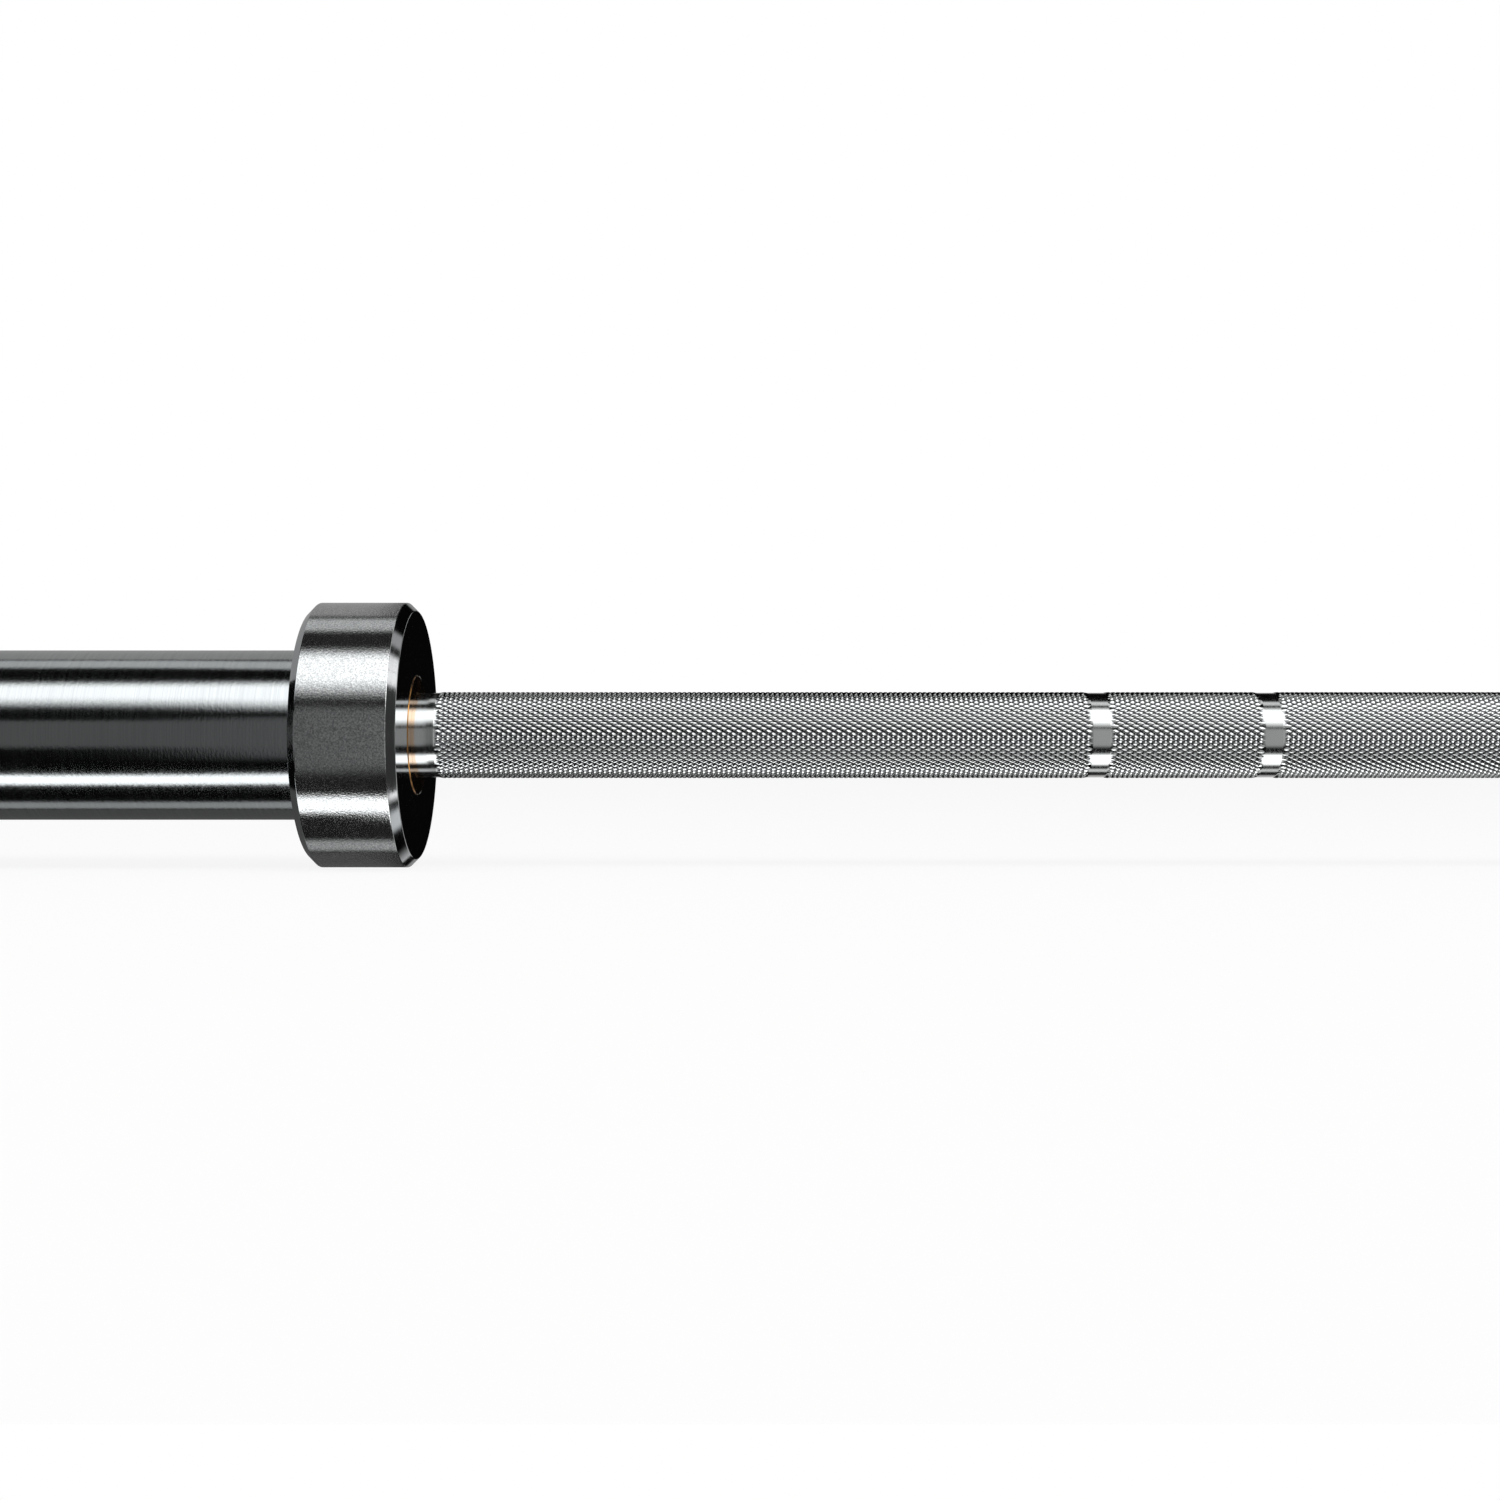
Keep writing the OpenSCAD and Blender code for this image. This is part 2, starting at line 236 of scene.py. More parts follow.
def knurl(name, low, high, material):
    """A knurled length of shaft from x = low to high: diamonds between grooves of both hands.

    Groove crossings lie on rows half a pitch apart, and each diamond spans two rows. The first and
    last rows stay level with the plain shaft, so that the grooves run out into it."""
    rows = round((high - low) / (KNURL_PITCH / 2))
    step = (high - low) / rows
    turn = math.pi / KNURL_STARTS  # from one crossing to the diamond's middle, round the shaft

    def place(row, k, radius):
        """row counts along the shaft, k counts half diamonds round it."""
        return (low + row * step, radius * math.sin(k * turn), radius * math.cos(k * turn))

    def uv_of(row, k):
        return (inset(row / rows), inset(k / (2 * KNURL_STARTS + 2)))

    vertices, faces, uv = [], [], []
    crossing = {}
    for row in range(rows + 1):
        level = row in (0, rows)
        radius = SHAFT_R if level else KNURL_FLOOR
        for k in range(row % 2, 2 * KNURL_STARTS, 2):
            crossing[row, k] = len(vertices)
            vertices.append(place(row, k, radius))

    def corner(row, k):
        return crossing[row, k % (2 * KNURL_STARTS)]

    # Half the flat's size across each hand of groove, in rows and half diamonds
    wide, narrow = TOP_ALONG / 2, TOP_ACROSS / 2
    for row in range(1, rows):
        for k in range((row + 1) % 2, 2 * KNURL_STARTS, 2):
            # The diamond's crossings, in order round it, as seen from outside
            ring = [(row - 1, k), (row, k - 1), (row + 1, k), (row, k + 1)]
            signs = [(-1, -1), (-1, 1), (1, 1), (1, -1)]
            top = [(row + a * wide + b * narrow, k + a * wide - b * narrow) for a, b in signs]
            base = [corner(a, b) for a, b in ring]
            first = len(vertices)
            vertices += [place(a, b, KNURL_R) for a, b in top]
            shift = 1 if k == 0 else 0  # keeps the first column's corners inside the map
            faces.append([first, first + 1, first + 2, first + 3])
            uv += [uv_of(a, b + shift) for a, b in top]
            for n in range(4):
                m = (n + 1) % 4
                faces.append([base[n], base[m], first + m, first + n])
                uv += [uv_of(ring[n][0], ring[n][1] + shift), uv_of(ring[m][0], ring[m][1] + shift)]
                uv += [uv_of(top[m][0], top[m][1] + shift), uv_of(top[n][0], top[n][1] + shift)]
    # Between the diamonds at each end, the plain shaft's surface runs on
    for row, inner in ((0, 1), (rows, rows - 1)):
        for k in range(inner % 2, 2 * KNURL_STARTS, 2):
            edge = [k - 1 + 2 * n / SHAFT_PARTS for n in range(SHAFT_PARTS + 1)]
            line = [corner(row, k - 1)]
            for b in edge[1:-1]:
                line.append(len(vertices))
                vertices.append(place(row, b, SHAFT_R))
            line.append(corner(row, k + 1))
            for n in range(SHAFT_PARTS):
                face = [line[n], line[n + 1], corner(inner, k)]
                marks = [uv_of(row, edge[n] + 1), uv_of(row, edge[n + 1] + 1), uv_of(inner, k + 1)]
                if row == 0:
                    face.reverse()
                    marks.reverse()
                faces.append(face)
                uv += marks
    obj = new_mesh(name, vertices, faces, uv, [material])
    # The grooves' bottoms stay sharp, and the diamonds' edges are rounded
    ends = np.empty(2 * len(obj.data.edges), np.int32)
    obj.data.edges.foreach_get("vertices", ends)
    obj.data.edges.foreach_set("use_edge_sharp", ends.reshape(-1, 2).max(1) < len(crossing))
    return obj


# Materials
class Nodes:
    """A material's node tree, with short calls for the nodes that the finishes share."""

    def __init__(self, name):
        self.material = bpy.data.materials.new(name)
        self.material.use_nodes = True
        self.tree = self.material.node_tree
        self.tree.nodes.clear()
        self.shader = self.add("ShaderNodeBsdfPrincipled")
        out = self.add("ShaderNodeOutputMaterial")
        self.link(self.shader.outputs[0], out.inputs["Surface"])
        self.place = self.add("ShaderNodeTexCoord").outputs["Object"]

    def add(self, kind, **settings):
        node = self.tree.nodes.new(kind)
        for key, value in settings.items():
            setattr(node, key, value)
        return node

    def link(self, a, b):
        self.tree.links.new(a, b)

    def stretched(self, along, across):
        """Object coordinates with `along` features a metre along the bar, `across` round it."""
        node = self.add("ShaderNodeMapping")
        node.inputs["Scale"].default_value = (along, across, across)
        self.link(self.place, node.inputs["Vector"])
        return node.outputs[0]

    def noise(self, vector, detail=2.0, roughness=0.5):
        node = self.add("ShaderNodeTexNoise")
        node.inputs["Scale"].default_value = 1.0
        node.inputs["Detail"].default_value = detail
        node.inputs["Roughness"].default_value = roughness
        self.link(vector, node.inputs["Vector"])
        return node.outputs["Fac"]

    def spread(self, value, low, high, from_low=0.3, from_high=0.7):
        """Spreads value over low to high, from the range that noise mostly keeps to or a given one."""
        node = self.add("ShaderNodeMapRange")
        node.inputs["From Min"].default_value = from_low
        node.inputs["From Max"].default_value = from_high
        node.inputs["To Min"].default_value = low
        node.inputs["To Max"].default_value = high
        self.link(value, node.inputs["Value"])
        return node.outputs[0]

    def maths(self, operation, a, b):
        node = self.add("ShaderNodeMath", operation=operation)
        for socket, value in zip(node.inputs, (a, b)):
            if isinstance(value, (int, float)):
                socket.default_value = value
            else:
                self.link(value, socket)
        return node.outputs[0]

    def colour(self, share, a, b):
        """The base colour: a where share is 0, b where it is 1."""
        node = self.add("ShaderNodeMix", data_type="RGBA")
        self.link(share, node.inputs["Factor"])
        node.inputs["A"].default_value = (*a, 1)
        node.inputs["B"].default_value = (*b, 1)
        self.link(node.outputs["Result"], self.shader.inputs["Base Color"])

    def bump(self, height, depth, under=None):
        """depth is the height of a full step of `height`, in metres."""
        node = self.add("ShaderNodeBump")
        node.inputs["Strength"].default_value = 1.0
        node.inputs["Distance"].default_value = depth
        self.link(height, node.inputs["Height"])
        if under is not None:
            self.link(under, node.inputs["Normal"])
        return node.outputs[0]

    def scratches(self, size, share, thinness):
        """Short fine scratches, 1 on them and 0 elsewhere: thin lines between stretched cells of
        this size. They show where a noise passes share."""
        stretch, tilt = 0.35, (0.4, 0.9, 0.3)
        warp = self.add("ShaderNodeMapping")
        warp.inputs["Scale"].default_value = (1 / size, stretch / size, stretch / size)
        warp.inputs["Rotation"].default_value = tilt
        self.link(self.place, warp.inputs["Vector"])
        cells = self.add("ShaderNodeTexVoronoi", feature="DISTANCE_TO_EDGE")
        cells.inputs["Scale"].default_value = 1.0
        self.link(warp.outputs[0], cells.inputs["Vector"])
        line = self.spread(cells.outputs["Distance"], 1.0, 0.0, 0.0, thinness)
        patches, edge = self.noise(self.stretched(0.9 / size, 0.9 / size)), 0.03
        where = self.spread(patches, 0.0, 1.0, share, share + edge)
        return self.maths("MULTIPLY", line, where)

    def brushed_round(self, amount):
        """Lines round the bar's axis, which spread a reflection along the bar."""
        tangent = self.add("ShaderNodeTangent", direction_type="RADIAL", axis="X")
        self.link(tangent.outputs[0], self.shader.inputs["Tangent"])
        self.shader.inputs["Anisotropic"].default_value = amount
        self.shader.inputs["Anisotropic Rotation"].default_value = 0.25  # of a turn

    def finish(self, roughness, normal, metallic=1.0):
        """Sets the roughness and the surface, and returns the material."""
        self.shader.inputs["Metallic"].default_value = metallic
        self.link(roughness, self.shader.inputs["Roughness"])
        self.link(normal, self.shader.inputs["Normal"])
        return self.material


def turned_steel():
    """The sleeve: fine lines round it from turning and plating, faint grain, a few scratches."""
    n = Nodes("turned_steel")
    lines = n.noise(n.stretched(2600, 34), detail=3, roughness=0.65)
    grain = n.noise(n.stretched(1500, 700))
    cloud = n.noise(n.stretched(14, 30))
    marks = n.scratches(9 * MM, 0.66, 0.012)
    tone = n.maths("ADD", n.spread(cloud, 0, 0.4), n.spread(lines, 0, 0.6))
    n.colour(tone, (0.46, 0.475, 0.48), (0.60, 0.61, 0.61))
    rough = n.maths("ADD", n.spread(lines, 0.11, 0.16), n.maths("MULTIPLY", marks, 0.08))
    n.brushed_round(0.4)
    return n.finish(rough, n.bump(marks, -1e-6, n.bump(grain, 20e-6, n.bump(lines, 2e-6))))


def blasted_steel():
    """The collar's rim: an even sparkling grain."""
    n = Nodes("blasted_steel")
    grain = n.noise(n.stretched(1900, 1900), roughness=0.6)
    spots = n.noise(n.stretched(2300, 2300), roughness=0.6)
    cloud = n.noise(n.stretched(60, 60))
    lines = n.noise(n.stretched(1800, 60))
    share = n.spread(spots, 0, 1, 0.36, 0.64)
    n.colour(share, (0.39, 0.39, 0.395), (0.73, 0.73, 0.72))
    rough = n.maths("ADD", n.spread(spots, 0.05, 0.11), n.spread(cloud, -0.01, 0.01))
    # Not all metal, because the pits send a little light back whatever its angle
    return n.finish(rough, n.bump(grain, 22e-6, n.bump(lines, 1.2e-6)), metallic=0.97)


def polished_steel():
    """The collar's inner face: near mirror, with faint rings from facing."""
    n = Nodes("polished_steel")
    rings = n.noise(n.stretched(400, 60))
    cloud = n.noise(n.stretched(50, 50))
    n.colour(n.spread(cloud, 0, 1), (0.60, 0.61, 0.62), (0.66, 0.67, 0.68))
    return n.finish(n.spread(cloud, 0.02, 0.045), n.bump(rings, 0.4e-6))


def faced_steel():
    """The collar's chamfers: a satin cut between the grainy rim and the polished face."""
    n = Nodes("faced_steel")
    lines = n.noise(n.stretched(2400, 40))
    grain = n.noise(n.stretched(1500, 1500))
    cloud = n.noise(n.stretched(60, 60))
    n.colour(n.spread(cloud, 0, 1), (0.52, 0.53, 0.54), (0.60, 0.61, 0.62))
    return n.finish(n.spread(lines, 0.06, 0.11), n.bump(grain, 2.5e-6, n.bump(lines, 0.8e-6)))


def ground_steel():
    """The plain shaft: ground and plated, brighter than the sleeve."""
    n = Nodes("ground_steel")
    lines = n.noise(n.stretched(3000, 40))
    cloud = n.noise(n.stretched(40, 60))
    n.colour(n.spread(cloud, 0, 1), (0.63, 0.63, 0.62), (0.70, 0.70, 0.69))
    return n.finish(n.spread(lines, 0.12, 0.18), n.bump(lines, 1.2e-6))


def knurled_steel():
    """The knurl: rolled and plated, each facet a little uneven, with shade painted into its grooves."""
    n = Nodes("knurled_steel")
    grain = n.noise(n.stretched(2200, 2200))
    cloud = n.noise(n.stretched(90, 160))
    # Painted shade: the grooves' bottoms are coloured near black, fading to the steel's colour towards the
    # ridges
    radial = n.add("ShaderNodeVectorMath", operation="MULTIPLY")
    radial.inputs[1].default_value = (0, 1, 1)
    n.link(n.place, radial.inputs[0])
    length = n.add("ShaderNodeVectorMath", operation="LENGTH")
    n.link(radial.outputs[0], length.inputs[0])
    height = n.spread(length.outputs["Value"], 0, 1, KNURL_FLOOR + PAINTED_SHADE_FULL_TO, KNURL_FLOOR + PAINTED_SHADE_GONE_FROM)
    n.colour(height, (0.04, 0.04, 0.045), (0.80, 0.80, 0.79))
    rough = n.maths("ADD", n.spread(grain, 0.07, 0.12), n.spread(cloud, -0.02, 0.02))
    return n.finish(rough, n.bump(grain, 5e-6))


def bronze():
    """The bushings: machined bearing bronze, unevenly darkened."""
    n = Nodes("bronze")
    rings = n.noise(n.stretched(900, 50))
    cloud = n.noise(n.stretched(120, 120), detail=3)
    n.colour(n.spread(cloud, 0, 1), (0.50, 0.24, 0.07), (0.74, 0.39, 0.13))
    return n.finish(n.spread(cloud, 0.04, 0.07), n.bump(rings, 0.8e-6))


def bearing_steel():
    """The needles, their cups and the thrust washers: ground and hardened."""
    n = Nodes("bearing_steel")
    lines = n.noise(n.stretched(2500, 40))
    n.colour(n.spread(lines, 0, 1), (0.66, 0.67, 0.68), (0.74, 0.75, 0.76))
    return n.finish(n.spread(lines, 0.08, 0.14), n.bump(lines, 0.8e-6))


def cage_steel():
    """The needles' cages: dark pressed steel."""
    n = Nodes("cage_steel")
    cloud = n.noise(n.stretched(400, 400), detail=3)
    n.colour(n.spread(cloud, 0, 1), (0.22, 0.22, 0.23), (0.32, 0.32, 0.33))
    return n.finish(n.spread(cloud, 0.30, 0.42), n.bump(cloud, 6e-6))


def black_spring_steel():
    """The snap rings: phosphated black."""
    n = Nodes("black_spring_steel")
    cloud = n.noise(n.stretched(500, 500), detail=3)
    n.colour(n.spread(cloud, 0, 1), (0.015, 0.015, 0.017), (0.045, 0.045, 0.048))
    return n.finish(n.spread(cloud, 0.34, 0.5), n.bump(cloud, 6e-6), metallic=0.0)


def nylon():
    """The thrust pads: natural nylon."""
    n = Nodes("nylon")
    cloud = n.noise(n.stretched(300, 300), detail=3)
    n.colour(n.spread(cloud, 0, 1), (0.78, 0.75, 0.66), (0.86, 0.84, 0.76))
    return n.finish(n.spread(cloud, 0.42, 0.55), n.bump(cloud, 8e-6), metallic=0.0)


TURNED, BLASTED = turned_steel(), blasted_steel()
POLISHED, FACED = polished_steel(), faced_steel()
GROUND, KNURLED, BRONZE = ground_steel(), knurled_steel(), bronze()
BEARING, CAGE, SPRING, NYLON = bearing_steel(), cage_steel(), black_spring_steel(), nylon()


# The turned pieces of one end
def piece(obj, node, body):
    """Lets obj stand for a node, on its body."""
    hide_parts(node)
    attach(obj, body)


def collar(name, side):
    """The collar, with its rim, its chamfers and its two faces in finishes of their own."""
    rim, face, chamfer, back = 0, 1, 2, 3
    at = FACE
    outline = [
        (at, FLANGE_R, face),
        (at, COLLAR_R - COLLAR_CHAMFER, chamfer),
        (at + COLLAR_CHAMFER, COLLAR_R, rim),
        (at + COLLAR_W - COLLAR_CHAMFER, COLLAR_R, chamfer),
        (at + COLLAR_W, COLLAR_R - COLLAR_CHAMFER, back),
        (at + COLLAR_W, SLEEVE_R, back),
        (at + COLLAR_W - COUNTERBORE, SLEEVE_R, back),
        (at + COLLAR_W - COUNTERBORE, SPIGOT_R, back),
        (at + COLLAR_LIP, SPIGOT_R, face),
        (at + COLLAR_LIP, FLANGE_R, face),
    ]
    materials = [BLASTED, POLISHED, FACED, TURNED]
    obj = lathe(f"{name}_collar_body", rounded(outline, COLLAR_EDGE), side, materials, COLLAR_SEGMENTS)
    piece(obj, f"{name}_collar", f"{name}_sleeve")


def sleeve(name, side):
    """The sleeve tube, with its spigot, its bores and the groove of the end cap's snap ring."""
    at = FACE
    outline = [
        (at + COLLAR_LIP, SEAT_R, 0),
        (at + COLLAR_LIP, SPIGOT_R, 0),
        (at + COLLAR_W - COUNTERBORE, SPIGOT_R, 0),
        (at + COLLAR_W - COUNTERBORE, SHOULDER_R, 0),
        (at + COLLAR_W + SHOULDER_GROOVE, SHOULDER_R, 0),
        (at + COLLAR_W + SHOULDER_GROOVE, SLEEVE_R, 0),
        (at + SLEEVE_END - SLEEVE_CHAMFER, SLEEVE_R, 0),
        (at + SLEEVE_END, SLEEVE_R - SLEEVE_CHAMFER, 0),
        (at + SLEEVE_END, CAP_SEAT_R, 0),
        (at + CAP_RING_AT + CAP_RING_T, CAP_SEAT_R, 0),
        (at + CAP_RING_AT + CAP_RING_T, CAP_GROOVE_R, 0),
        (at + CAP_RING_AT, CAP_GROOVE_R, 0),
        (at + CAP_RING_AT, CAP_SEAT_R, 0),
        (at + CAP_AT, CAP_SEAT_R, 0),
        (at + CAP_AT, OUTER_HIGH.z, 0),
        (OUTER_LOW.x, OUTER_HIGH.z, 0),
        (OUTER_LOW.x, SEAT_R, 0),
        (OUTER_CUP_LOW.x - RELIEF_MARGIN, SEAT_R, 0),
        (OUTER_CUP_LOW.x - RELIEF_MARGIN, RELIEF_R, 0),
        (INNER_CUP_HIGH.x + RELIEF_MARGIN, RELIEF_R, 0),
        (INNER_CUP_HIGH.x + RELIEF_MARGIN, SEAT_R, 0),
    ]
    obj = lathe(f"{name}_sleeve_body", rounded(outline, SLEEVE_EDGE), side, [TURNED], COLLAR_SEGMENTS)
    piece(obj, f"{name}_sleeve_tube", f"{name}_sleeve")


def inner_bushing(name, side):
    """The bronze bushing, whose flange shows in the collar's face."""
    bore = SHAFT_R + RUNNING_GAP
    at = FACE
    outline = [
        (at - FLANGE_PROUD, bore, 0),
        (at - FLANGE_PROUD, FLANGE_R - FLANGE_CHAMFER, 0),
        (at - FLANGE_PROUD + FLANGE_CHAMFER, FLANGE_R, 0),
        (at + COLLAR_LIP, FLANGE_R, 0),
        (at + COLLAR_LIP, SEAT_R, 0),
        (at + COLLAR_LIP + BUSHING_LEN, SEAT_R, 0),
        (at + COLLAR_LIP + BUSHING_LEN, bore, 0),
    ]
    turned = rounded(outline, BUSHING_EDGE, 3)
    obj = lathe(f"{name}_bushing_flanged", turned, side, [BRONZE], COLLAR_SEGMENTS)
    piece(obj, f"{name}_inner_bushing", f"{name}_sleeve")


def end_cap(name, side):
    """A turned disc with a shallow dish and a centre hole's chamfer on its outer face."""
    at = FACE + CAP_AT
    dish, dish_r, centre_r = 0.5 * MM, CAP_R - 4 * MM, 1.6 * MM
    centre_depth = 0.6 * centre_r
    outline = [
        (at + PAD_SINK, 0, 0),
        (at + PAD_SINK, PAD_R, 0),
        (at, PAD_R, 0),
        (at, CAP_R, 0),
        (at + CAP_T, CAP_R, 0),
        (at + CAP_T, dish_r, 0),
        (at + CAP_T - dish, dish_r - dish, 0),
        (at + CAP_T - dish, centre_r, 0),
        (at + CAP_T - dish - centre_depth, 0, 0),
    ]
    turned = rounded(outline, CAP_EDGE, 3)
    obj = lathe(f"{name}_cap_disc", turned, side, [TURNED], CAP_SEGMENTS, closed=False)
    piece(obj, f"{name}_end_cap", f"{name}_sleeve")


# The shaft
def shaft():
    """Plain lengths and knurled lengths by turns, which together stand for the one-piece shaft."""
    start, end = FACE - KNURL_REACH, FACE - NECK - RUN_OUT
    edges = [start]
    for mark in MARKS:
        edges += [mark - MARK_W / 2, mark + MARK_W / 2]
    edges.append(end)
    for side, name in ((-1, "left"), (1, "right")):
        for i, part in enumerate(("inner", "middle", "outer")):
            low, high = sorted((side * edges[2 * i], side * edges[2 * i + 1]))
            yield knurl(f"shaft_{name}_{part}_knurl", low, high, KNURLED)
        for i, part in enumerate(("inner", "outer")):
            low, high = edges[2 * i + 1], edges[2 * i + 2]
            yield plain(f"shaft_{name}_{part}_ring_mark", [(low, SHAFT_R, 0), (high, SHAFT_R, 0)], side)
        tip = [
            (end, SHAFT_R, 0),
            (SHAFT_END - SHAFT_CHAMFER, SHAFT_R, 0),
            (SHAFT_END, SHAFT_R - SHAFT_CHAMFER, 0),
            (SHAFT_END, 0, 0),
        ]
        yield plain(f"shaft_{name}_end", tip, side)
    yield plain("shaft_middle", [(-start, SHAFT_R, 0), (start, SHAFT_R, 0)], 1)


def plain(name, outline, side):
    """A plain length of the shaft."""
    return lathe(name, outline, side, [GROUND], SHAFT_SEGMENTS, closed=False)


for side_name, side_sign in (("left", -1), ("right", 1)):
    collar(side_name, side_sign)
    sleeve(side_name, side_sign)
    inner_bushing(side_name, side_sign)
    end_cap(side_name, side_sign)
for length in shaft():
    piece(length, "shaft", "bar")

# The pieces whose CAD shape is right take a finish of their own
FINISHES = {
    "outer_bushing": BRONZE,
    "bearing_cup": BEARING,
    "bearing_needles": BEARING,
    "bearing_cage": CAGE,
    "thrust_washer": BEARING,
    "snap_ring": SPRING,
    "thrust_pad": NYLON,
}
for node_name, obj in frame["nodes"].items():
    for ending, material in FINISHES.items():
        if node_name.endswith(ending):
            obj.data.materials.clear()
            obj.data.materials.append(material)


# Studio
def emission(name, colour=(1, 1, 1), strength=1.0):
    """A material that shines, and its shader."""
    material = bpy.data.materials.new(name)
    material.use_nodes = True
    tree = material.node_tree
    tree.nodes.clear()
    shader = tree.nodes.new("ShaderNodeEmission")
    shader.inputs["Color"].default_value = (*colour, 1)
    shader.inputs["Strength"].default_value = strength
    out = tree.nodes.new("ShaderNodeOutputMaterial")
    tree.links.new(shader.outputs[0], out.inputs["Surface"])
    return material, shader


def only_in_reflections(obj):
    """Puts obj in the scene, where only reflections see it."""
    obj.visible_camera = obj.visible_diffuse = obj.visible_shadow = False
    obj.visible_transmission = obj.visible_volume_scatter = False
    bpy.context.scene.collection.objects.link(obj)


def around_the_bar(angle, distance):
    """(y, z) at an angle about the bar, from the camera's side (0) over the top (90) to the back."""
    a = math.radians(angle)
    return (-distance * math.cos(a), distance * math.sin(a))


def lamp(name, angle, width, strength):
    """A long lamp beside the bar, which lights it but isn't seen in it: a card stands for its face."""
    distance, length, centre_x = 1.0, 3.0, -0.6
    light = bpy.data.lights.new(name, "AREA")
    light.shape = "RECTANGLE"
    light.size, light.size_y = length, width
    light.energy = strength * math.pi * length * width
    obj = bpy.data.objects.new(name, light)
    y, z = around_the_bar(angle, distance)
    obj.location = (centre_x, y, z)
    obj.rotation_euler = (math.radians(90 - angle), 0, 0)
    obj.visible_glossy = False
    bpy.context.scene.collection.objects.link(obj)


def ramp(tree, value, start, end, low, high):
    """A smooth step from low at value = start to high at value = end."""
    node = tree.nodes.new("ShaderNodeMapRange")
    node.interpolation_type = "SMOOTHSTEP"
    for socket, number in zip(node.inputs[1:5], (start, end, low, high)):
        socket.default_value = number
    tree.links.new(value, node.inputs[0])
    return node.outputs[0]


def card(name, stations, strength, soft=(0.2, 0.2), fade=0.2, distance=1.0, colour=(1, 1, 1)):
    """A curved strip of soft light or grey card along the bar, which only reflections see.

    stations: (x, low, high), the angles that it spans there. strength: at the first and last of
    the inner stations. soft: shares of its width over which its low and high edges fade. fade:
    metres over which its ends do."""
    parts = 12
    vertices, faces, across = [], [], []
    for x, low, high in stations:
        for k in range(parts + 1):
            y, z = around_the_bar(low + (high - low) * k / parts, distance)
            vertices.append((x, y, z))
    for i in range(len(stations) - 1):
        for k in range(parts):
            a = i * (parts + 1) + k
            faces.append((a, a + 1, a + parts + 2, a + parts + 1))
            across += [k / parts, (k + 1) / parts, (k + 1) / parts, k / parts]
    mesh = bpy.data.meshes.new(name)
    mesh.from_pydata(vertices, [], faces)
    layer = mesh.uv_layers.new(name="across")
    layer.uv.foreach_set("vector", [c for v in across for c in (0.0, v)])

    material, shader = emission(name, colour)
    tree = material.node_tree
    place = tree.nodes.new("ShaderNodeTexCoord")
    along = tree.nodes.new("ShaderNodeSeparateXYZ")
    side = tree.nodes.new("ShaderNodeSeparateXYZ")
    tree.links.new(place.outputs["Object"], along.inputs[0])
    tree.links.new(place.outputs["UV"], side.inputs[0])

    first, last = stations[0][0], stations[-1][0]
    inner = stations[1:-1] or stations
    factors = [
        ramp(tree, along.outputs["X"], inner[0][0], inner[-1][0], *strength),
        ramp(tree, along.outputs["X"], first, first + fade, 0, 1),
        ramp(tree, along.outputs["X"], last, last - fade, 0, 1),
        ramp(tree, side.outputs["Y"], 0, soft[0], 0, 1),
        ramp(tree, side.outputs["Y"], 1, 1 - soft[1], 0, 1),
    ]
    product = factors[0]
    for factor in factors[1:]:
        times = tree.nodes.new("ShaderNodeMath")
        times.operation = "MULTIPLY"
        tree.links.new(product, times.inputs[0])
        tree.links.new(factor, times.inputs[1])
        product = times.outputs[0]
    tree.links.new(product, shader.inputs["Strength"])
    mesh.materials.append(material)
    only_in_reflections(bpy.data.objects.new(name, mesh))


# The stretch of a card, along the bar, that each photographed part mirrors
SLEEVE_SEES, COLLAR_SEES, NECK_SEES = (-3, -1.0), (-0.95, -0.83), (-0.818, -0.79)
MARKS_SEE_FROM = -0.28
COOL = (0.96, 0.99, 1.0)


def strip(name, sleeve, collar, neck, marks, end, strength, soft=(0.3, 0.3), fade=0.2, distance=1.0):
    """A card along the whole bar, to x = end: its spans of angles where the sleeve, the collar, the
    neck and the ring marks mirror it."""
    stations = [(x, *sleeve) for x in SLEEVE_SEES]
    stations += [(x, *collar) for x in COLLAR_SEES]
    stations += [(x, *neck) for x in NECK_SEES]
    stations += [(x, *marks) for x in (MARKS_SEE_FROM, end)]
    card(name, stations, strength, soft, fade, distance, COOL)


def even_card(name, ends, span, strength, **shape):
    """A card between two places along the bar, with one span of angles and one strength."""
    card(name, [(x, *span) for x in ends], (strength, strength), **shape)


def flags():
    """Dark cloth round the bar, as in the photograph's studio, so that the steel has dark bands
    between the cards. It turns grey past the part that the photograph mirrors. Only reflections
    see it."""
    radius, half_length, sides = 1.6, 4.0, 48
    turns_grey, dark, grey = (0.6, 1.3), 0.002, 0.05
    vertices, faces = [], []
    for x in (-half_length, half_length):
        for k in range(sides):
            y, z = around_the_bar(360 * k / sides, radius)
            vertices.append((x, y, z))
    for k in range(sides):
        m = (k + 1) % sides
        faces.append((k, m, sides + m, sides + k))
    faces += [tuple(range(sides)), tuple(range(2 * sides - 1, sides - 1, -1))]
    mesh = bpy.data.meshes.new("flags")
    mesh.from_pydata(vertices, [], faces)
    material, shader = emission("flag_cloth")
    tree = material.node_tree
    place = tree.nodes.new("ShaderNodeTexCoord")
    along = tree.nodes.new("ShaderNodeSeparateXYZ")
    tree.links.new(place.outputs["Object"], along.inputs[0])
    tree.links.new(ramp(tree, along.outputs["X"], *turns_grey, dark, grey), shader.inputs["Strength"])
    mesh.materials.append(material)
    only_in_reflections(bpy.data.objects.new("flags", mesh))


